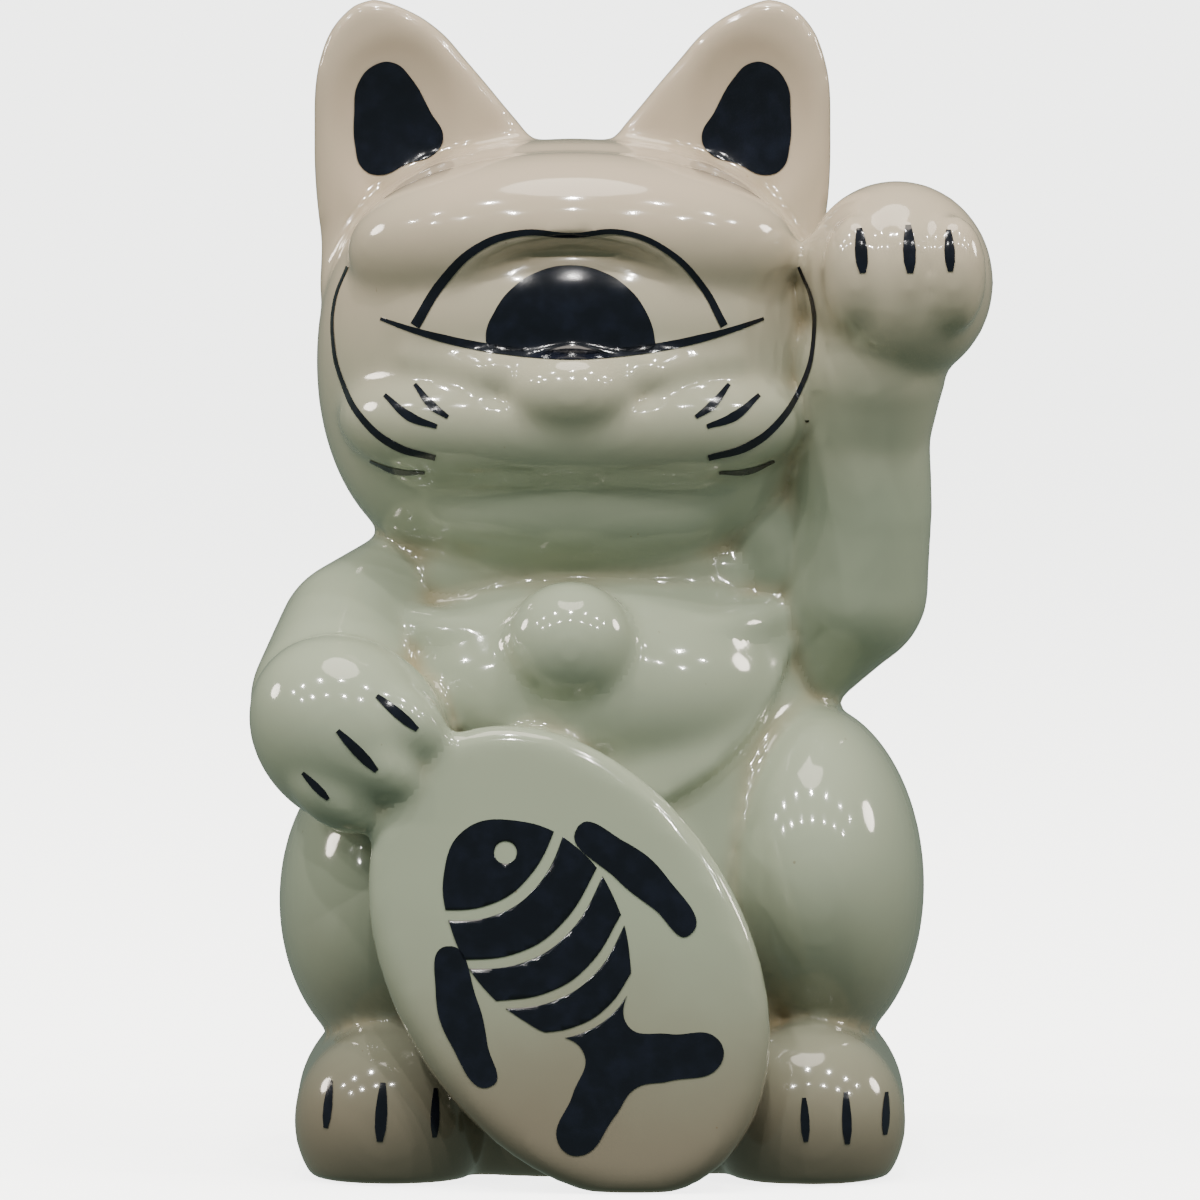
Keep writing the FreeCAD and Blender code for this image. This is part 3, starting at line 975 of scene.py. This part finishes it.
class Finish:
    """A material under construction."""

    def __init__(self, name):
        self.material = bpy.data.materials.new(name)
        self.material.use_nodes = True
        self.nodes = self.material.node_tree.nodes
        self.links = self.material.node_tree.links
        self.shader = self.nodes["Principled BSDF"]

    def node(self, kind, settings, values):
        """Adds a node of that type, with its settings made first and then its sockets filled."""
        node = self.nodes.new(kind)
        for key, setting in settings.items():
            setattr(node, key, setting)
        pairs = values.items() if isinstance(values, dict) else enumerate(values)
        for key, value in pairs:
            self.fill(node.inputs[key], value)
        return Added(self, node)

    def fill(self, socket, value):
        """Links a value to a socket, or sets a plain number or colour on it."""
        if isinstance(value, Value):
            self.links.new(value.socket, socket)
        else:
            socket.default_value = value

    def mixed(self, mask, low, high):
        """A colour between two, as far along as the mask says."""
        added = self.node("ShaderNodeMix", {"data_type": "RGBA"}, {})
        self.fill(added.node.inputs["Factor"], mask)
        self.fill(added.node.inputs[COLOUR_A], low)
        self.fill(added.node.inputs[COLOUR_B], high)
        return added.out(COLOUR_OUT)

    def place(self):
        """The point's own place on the object."""
        return self.node("ShaderNodeTexCoord", {}, {}).out("Object")

    def noise(self, scale, detail=3.0):
        """Cloudy noise from 0 to 1, with so many clouds to the metre."""
        values = {"Vector": self.place(), "Scale": scale, "Detail": detail}
        return self.node("ShaderNodeTexNoise", {}, values).out(0)

    def height(self):
        """The point's height in metres."""
        return self.node("ShaderNodeSeparateXYZ", {}, [self.place()]).out("Z")

    def bump(self, height, strength, distance):
        """Small relief that only the light sees."""
        values = {"Height": height, "Strength": strength, "Distance": distance}
        return self.node("ShaderNodeBump", {}, values).out(0)

    def give(self, **sockets):
        """Fills the shader's own sockets and hands the material over."""
        for key, value in sockets.items():
            self.fill(self.shader.inputs[key.replace("_", " ")], value)
        return self.material


# %% [markdown]
# ## The glaze
#
# The glaze is a milky off-white over pale clay. Its colour is painted lighter and warmer towards the head
# as painted light, darker and greener on the lower half as painted shade, and darker still near the ground
# as painted shade. It is browner in the creases, partly where the glaze gathers and is deeper and partly as
# painted shade, and a few iron specks show. The ring that the cat stands on is wiped clean to bare clay
# before the firing. Each of these is a mask that mixes the next colour in, and they come in the order in
# which they lie over one another.

# %% The glaze
# Painted light and shade: a lit white for the upper part and a darker, greener shaded white for the lower
# half.
PAINTED_LIGHT_WHITE = (0.54, 0.44, 0.33, 1)
PAINTED_SHADE_WHITE = (0.34, 0.38, 0.28, 1)
# Painted shade: a darker brown for the glaze near the ground.
PAINTED_GROUND_SHADE = (0.17, 0.125, 0.09, 1)
# The crease colour: partly glaze that gathers there, partly painted shade.
POOLED_GLAZE_AND_SHADE = (0.30, 0.22, 0.11, 1)
BARE_CLAY = (0.55, 0.42, 0.30, 1)
IRON = (0.16, 0.08, 0.03, 1)
PAINTED_LIGHT_FROM_TO, GROUND_SHADE_FROM_TO, BARE_FROM_TO = (0.080, 0.128), (0.004, 0.040), (0.0001, 0.0006)
POOL_AND_SHADE_FROM_TO, SPECK_FROM_TO = (0.15, 1.6), (0.80, 0.84)
CLOUDS, SPECKS, RIPPLES, GRAINS = 38.0, 900.0, 120.0, 2500.0


def glaze():
    """The off-white glaze of every ceramic piece. Heights are in metres, hollows in millimetres."""
    finish = Finish("cream_glaze")
    height = finish.height()
    cloud = finish.noise(CLOUDS, 4.0)
    # Painted light and shade: the glaze is painted lighter and warmer towards the head and darker and greener
    # below.
    painted_light_mask = (height + (cloud - 0.5) * 0.03).between(*PAINTED_LIGHT_FROM_TO)
    colour = finish.mixed(painted_light_mask, PAINTED_SHADE_WHITE, PAINTED_LIGHT_WHITE)
    # Painted shade: the glaze is painted darker and browner towards the ground.
    low = 1 - (height + (cloud - 0.5) * 0.02).between(*GROUND_SHADE_FROM_TO)
    colour = finish.mixed(low * 0.8, colour, PAINTED_GROUND_SHADE)
    # Partly gathered glaze and partly painted shade: the deeper a point lies in a crease, the browner and
    # darker it is painted.
    hollow = finish.node("ShaderNodeAttribute", {"attribute_name": "hollow"}, {}).out("Fac")
    colour = finish.mixed(hollow.between(*POOL_AND_SHADE_FROM_TO) * 0.75, colour, POOLED_GLAZE_AND_SHADE)
    speck = finish.noise(SPECKS, 1.0).between(*SPECK_FROM_TO)
    colour = finish.mixed(speck * 0.4, colour, IRON)
    bare = 1 - height.between(*BARE_FROM_TO)
    colour = finish.mixed(bare, colour, BARE_CLAY)
    ripple = finish.noise(RIPPLES, 2.0)
    grain = finish.noise(GRAINS, 3.0)
    relief = finish.bump(ripple * 0.7 + grain * (bare * 0.6 + 0.02), 0.12, 0.0006)
    return finish.give(Base_Color=colour, Roughness=bare * 0.7 + 0.09 + cloud * 0.03, Normal=relief,
                       Coat_Weight=(1 - bare) * 0.6)


# %% [markdown]
# ## Navy brush colour and rubber
#
# The marks are a navy that is nearly black, a little thinner and bluer where the brush ran dry. The plug is
# a soft pale rubber with a faint mottle.

# %% The brush colour and the rubber
NAVY_THICK, NAVY_THIN = (0.004, 0.005, 0.010, 1), (0.007, 0.009, 0.019, 1)
RUBBER_DARK, RUBBER_PALE = (0.50, 0.48, 0.44, 1), (0.60, 0.58, 0.53, 1)
STREAKS, MOTTLES, RUBBER_GRAINS = 400.0, 260.0, 2200.0


def brush_navy():
    """The brush colour, which the firing leaves nearly as glossy as the glaze."""
    finish = Finish("navy_brush")
    streak = finish.noise(STREAKS, 4.0)
    colour = finish.mixed(streak.between(0.35, 0.8), NAVY_THICK, NAVY_THIN)
    relief = finish.bump(streak, 0.05, 0.0003)
    return finish.give(Base_Color=colour, Roughness=0.10 + streak * 0.08, Normal=relief)


def rubber():
    """The plug's soft rubber."""
    finish = Finish("soft_rubber")
    mottle = finish.noise(MOTTLES, 5.0)
    colour = finish.mixed(mottle.between(0.3, 0.7), RUBBER_DARK, RUBBER_PALE)
    relief = finish.bump(finish.noise(RUBBER_GRAINS, 2.0), 0.2, 0.0002)
    return finish.give(Base_Color=colour, Roughness=0.55 + mottle * 0.15, Normal=relief)


glaze_finish, navy_finish, rubber_finish = glaze(), brush_navy(), rubber()
for finish in (glaze_finish, navy_finish, rubber_finish):
    print(finish.name, "has", len(finish.node_tree.nodes), "nodes")

# %% [markdown]
# ## Giving each piece its finish and its body
#
# Every ceramic piece and every painted mark is fired into one hard body, so all of them ride on the cat.
# Only the plug rides on a body of its own. Each clay lump and the whole skin have done their work and are
# deleted.

# %% Giving each piece its finish and its body
CAST_SMOOTH_ANGLE = math.radians(50)
PIECE_NAMES = {"head": "head_shell", "body": "body_shell", "raised": "raised_leg",
               "lowered": "lowered_leg", "tail": "curled_tail", "collar": "collar_band",
               "bib": "chest_bib", "coin": "oval_coin", "bell": "round_bell"}
REPLACED = {"head": "head_casting", "body": "body_casting", "raised": "raised_foreleg",
            "lowered": "lowered_foreleg", "tail": "tail", "collar": "collar",
            "bib": "bib", "coin": "coin_plaque", "bell": "bell"}


def finished(obj, name, material, body, replaced=None):
    """Names a piece, gives it its finish, and says what it rides on and which CAD node it replaces."""
    obj.name = name
    obj.data.name = name
    obj.data.materials.clear()
    obj.data.materials.append(material)
    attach(obj, body)
    if replaced:
        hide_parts(replaced)


for name, part in parts.items():
    only(part)
    bpy.ops.object.shade_smooth_by_angle(angle=CAST_SMOOTH_ANGLE)
    finished(part, PIECE_NAMES[name], glaze_finish, "cat", REPLACED[name])
for mark in eye_marks + whiskers + ear_insides + claws + [coin_fish]:
    finished(mark, mark.name, navy_finish, "cat")
finished(plug, "soft_plug", rubber_finish, "plug", "base_plug")
discard(skin)
for lump in clay.values():
    discard(lump)
print("finished pieces:", len(parts) + len(eye_marks + whiskers + ear_insides + claws) + 2)

# %% [markdown]
# ## Camera, light and floor
#
# The camera stands straight in front and a little above, far away and with a long lens, so that the cat is
# drawn almost without perspective. One broad light overhead gives the soft shading, one at each side fills
# it, and two rows of small lamps give the glaze the chain of sharp sparkles that a shop's ceiling spots
# would.

# %% Camera
DISTANCE, ELEVATION = 1.2, math.radians(3)
LENS = 283
AIM_X, AIM_Z = 3.5, 71.2
bpy.ops.object.camera_add()
camera = bpy.context.object
bpy.context.scene.camera = camera
aim = at(AIM_X, 0, AIM_Z)
camera.location = aim + Vector((0, -math.cos(ELEVATION), math.sin(ELEVATION))) * DISTANCE
camera.rotation_euler = (math.radians(90) - ELEVATION, 0, 0)
camera.data.lens = LENS
print("the camera is at", [round(value, 3) for value in camera.location])

# %% Light
WARM, NEUTRAL = (1.0, 0.90, 0.78), (1.0, 0.97, 0.93)
OVERHEAD_PLACE, OVERHEAD_SIZE, OVERHEAD_WATTS = (0.0, -0.1, 1.3), 0.7, 8
SIDE_PLACES, SIDE_SIZE, SIDE_WATTS = ((-1.0, 0.2, 0.5), (1.0, 0.2, 0.5)), 0.25, 3.5
SPOT_COLUMNS, SPOT_ROWS = (-1.5, -0.95, -0.45, 0.0, 0.45, 0.95, 1.5), (-1.0, -0.45)
SPOT_HEIGHT, SPOT_SIZE, SPOT_WATTS = 1.1, 0.035, 3.0


def lamp(place, size, energy, colour):
    """A round light that faces the cat."""
    bpy.ops.object.light_add(type="AREA", location=place)
    light = bpy.context.object
    light.data.shape = "DISK"
    light.data.size = size
    light.data.energy = energy
    light.data.color = colour
    light.rotation_euler = (Vector(place) - aim).to_track_quat("Z", "Y").to_euler()


lamp(OVERHEAD_PLACE, OVERHEAD_SIZE, OVERHEAD_WATTS, WARM)
for place in SIDE_PLACES:
    lamp(place, SIDE_SIZE, SIDE_WATTS, WARM)
for x in SPOT_COLUMNS:
    for y in SPOT_ROWS:
        lamp((x, y, SPOT_HEIGHT), SPOT_SIZE, SPOT_WATTS, NEUTRAL)
print("lamps:", 1 + len(SIDE_PLACES) + len(SPOT_COLUMNS) * len(SPOT_ROWS))

# %% [markdown]
# ## The floor
#
# Floor and backdrop are one pale sweep with a rounded bend, so that no horizon shows behind the cat. The
# sweep glows a little to be evenly bright, and its light is kept off the glaze, which would lose its
# shading in it.

# %% Floor and backdrop
FLOOR_SIZE, BACKDROP_HEIGHT, BEND_R = 10, 4, 1.2
FLOOR_DARK, FLOOR_PALE = (0.93, 0.93, 0.92, 1), (0.96, 0.96, 0.95, 1)
FLOOR_GLOW = 4.0
ROOM_COLOUR, ROOM_STRENGTH = (0.80, 1.0, 0.82, 1), 0.20


def pick_edges(obj, test):
    """Selects the edges that pass a test, and nothing else, and stays in edit mode."""
    only(obj)
    bpy.ops.object.mode_set(mode="EDIT")
    bpy.ops.mesh.select_mode(type="EDGE")
    bpy.ops.mesh.select_all(action="DESELECT")
    bpy.ops.object.mode_set(mode="OBJECT")
    for edge in obj.data.edges:
        edge.select = all(test(obj.data.vertices[k].co) for k in edge.vertices)
    bpy.ops.object.mode_set(mode="EDIT")


def sweep():
    """A floor whose far edge is drawn up and rounded into a backdrop."""
    bpy.ops.object.select_all(action="DESELECT")
    bpy.ops.mesh.primitive_plane_add(size=FLOOR_SIZE)
    floor = named("sweep")
    pick_edges(floor, lambda place: place.y > 1)
    bpy.ops.mesh.extrude_region_move(TRANSFORM_OT_translate={"value": (0, 0, BACKDROP_HEIGHT)})
    bpy.ops.object.mode_set(mode="OBJECT")
    modify(floor, "BEVEL", width=BEND_R, segments=16, limit_method="ANGLE")
    only(floor)
    bpy.ops.object.shade_smooth()
    finish = Finish("pale_floor")
    tone = finish.mixed(finish.noise(3.0), FLOOR_DARK, FLOOR_PALE)
    floor.data.materials.append(finish.give(Base_Color=tone, Roughness=0.8, Emission_Color=tone,
                                            Emission_Strength=FLOOR_GLOW))
    floor.visible_diffuse = False
    floor.visible_glossy = False
    print("the sweep has", len(floor.data.polygons), "faces")


sweep()
world = bpy.data.worlds.new("room")
bpy.context.scene.world = world
world.use_nodes = True
world.node_tree.nodes["Background"].inputs["Color"].default_value = ROOM_COLOUR
world.node_tree.nodes["Background"].inputs["Strength"].default_value = ROOM_STRENGTH
